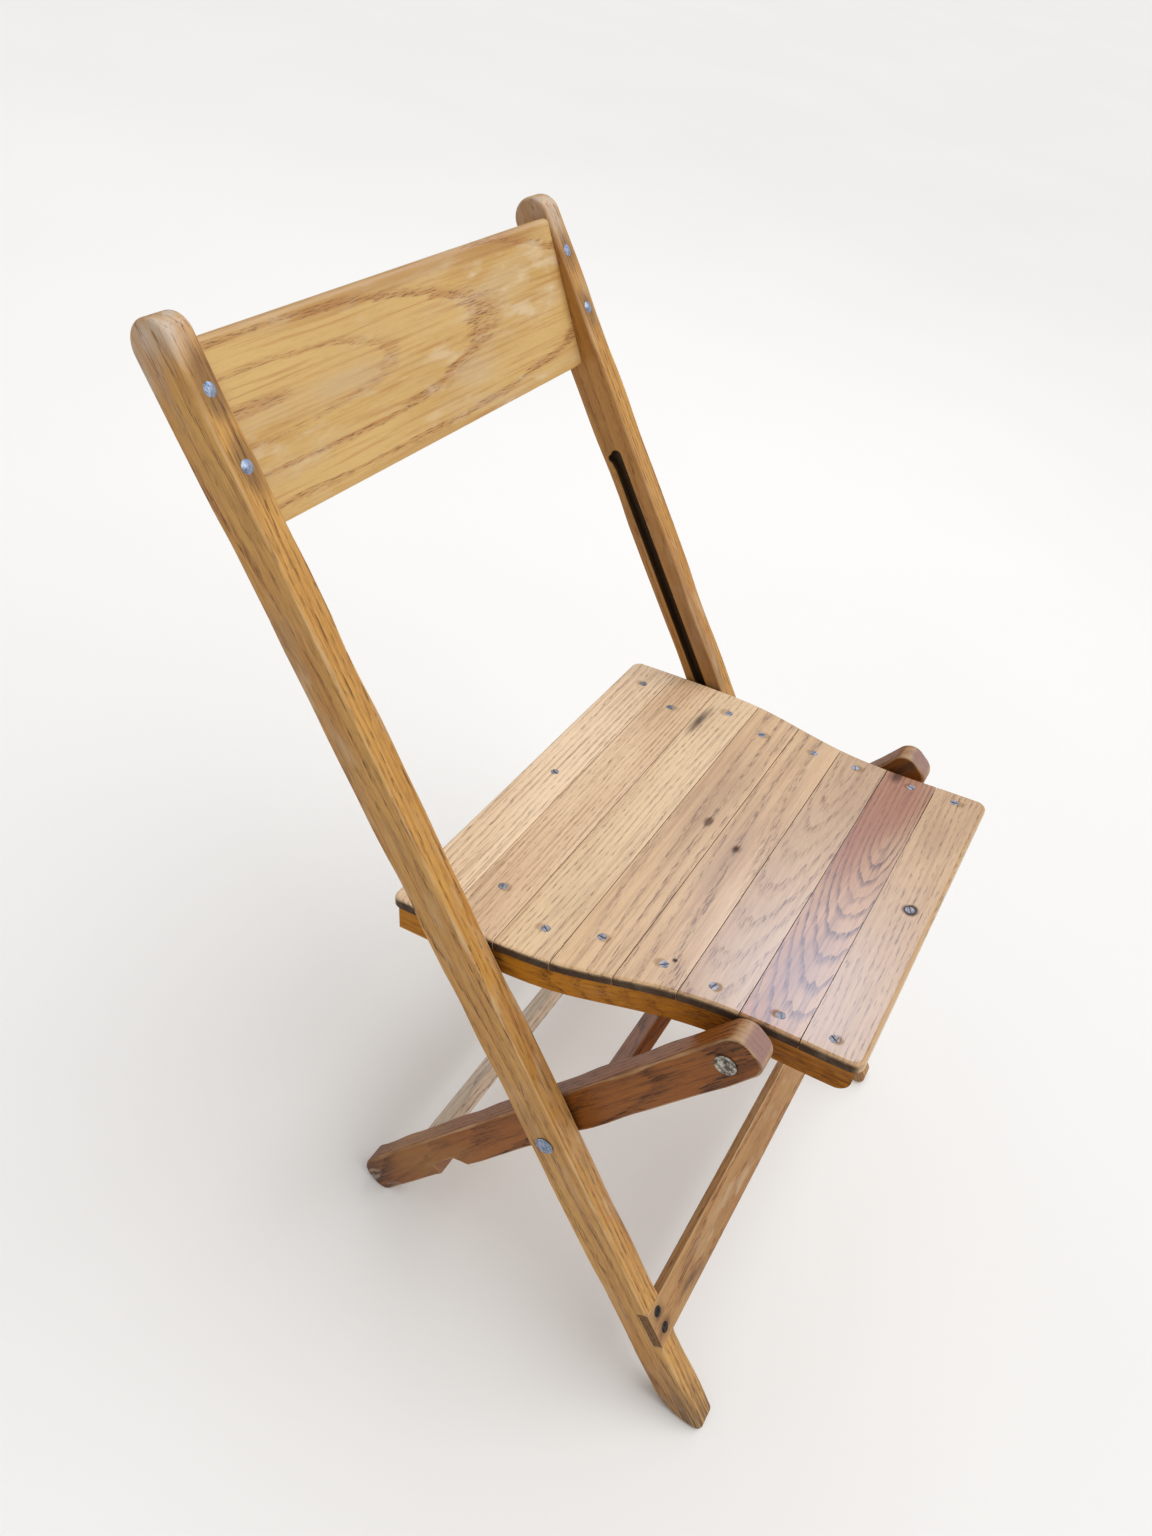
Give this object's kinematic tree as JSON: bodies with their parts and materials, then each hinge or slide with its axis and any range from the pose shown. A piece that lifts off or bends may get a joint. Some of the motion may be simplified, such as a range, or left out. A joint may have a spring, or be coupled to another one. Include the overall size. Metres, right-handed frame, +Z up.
{
  "type": "folding chair",
  "caption": "Wooden folding chair with a slatted seat, a broad backrest board and rear legs that swing flat between the posts.",
  "frame": {"origin": "on the floor under the centre of the open chair's bounding box", "axes": "+Z up, the sitter faces -Y, +X is the sitter's left"},
  "size_m": [0.4668, 0.5995, 0.77],
  "materials": {
    "post_oak": "aged clear varnish, satin",
    "leg_oak": "aged clear varnish, worn",
    "board_oak": "aged clear varnish, satin",
    "stretcher_oak": "worn varnish",
    "weathered_oak": "bare and greyed",
    "slat_oak": "satin varnish",
    "red_slat_oak": "satin varnish, darker stain",
    "rail_oak": "aged clear varnish",
    "zinc_hardware": "dull zinc plate",
    "bolt_steel": "aged, pitted",
    "screw_steel": "dull, worn",
    "dark_steel": "blackened"
  },
  "bodies": {
    "back_frame": {"backrest_board": "board_oak", "backrest_nails_left": "zinc_hardware", "backrest_nails_right": "zinc_hardware", "front_stretcher": "stretcher_oak", "front_stretcher_nails_left": "zinc_hardware", "front_stretcher_nails_right": "zinc_hardware", "pivot_inner_washer_left": "dark_steel", "pivot_inner_washer_right": "dark_steel", "pivot_rivet_left": "zinc_hardware", "pivot_rivet_right": "zinc_hardware", "pivot_spacer_left": "dark_steel", "pivot_spacer_right": "dark_steel", "pivot_washer_left": "zinc_hardware", "pivot_washer_right": "zinc_hardware", "post_left": "post_oak", "post_right": "post_oak"},
    "leg_frame": {"mid_stretcher": "weathered_oak", "rear_leg_left": "leg_oak", "rear_leg_right": "leg_oak", "rear_stretcher": "weathered_oak", "seat_bolt_inner_washer_left": "bolt_steel", "seat_bolt_inner_washer_right": "bolt_steel", "seat_bolt_left": "bolt_steel", "seat_bolt_right": "bolt_steel", "seat_bolt_washer_left": "bolt_steel", "seat_bolt_washer_right": "bolt_steel", "seat_bushing_left": "dark_steel", "seat_bushing_right": "dark_steel"},
    "seat": {"front_apron": "rail_oak", "guide_pin_left": "dark_steel", "guide_pin_right": "dark_steel", "middle_screws": "screw_steel", "rear_cross_rail": "rail_oak", "seat_rail_left": "rail_oak", "seat_rail_right": "rail_oak", "slat_1": "slat_oak", "slat_2": "slat_oak", "slat_3": "slat_oak", "slat_4": "slat_oak", "slat_5": "slat_oak", "slat_6": "slat_oak", "slat_7": "red_slat_oak", "slat_8": "slat_oak", "slat_screws": "screw_steel"}
  },
  "joints": [
    {"name": "leg_fold", "type": "hinge", "parent": "back_frame", "child": "leg_frame", "pos_m": [0, -0.09016, 0.25217], "axis": [-1, 0, 0], "range_deg": [0, 67]},
    {"name": "seat_fold", "type": "hinge", "parent": "leg_frame", "child": "seat", "pos_m": [0, -0.18779, 0.41339], "axis": [1, 0, 0], "range_deg": [0, 129]}
  ],
  "couplings": [
    {"joint": "seat_fold", "follows": "leg_fold", "ratio": 1.9245}
  ]
}
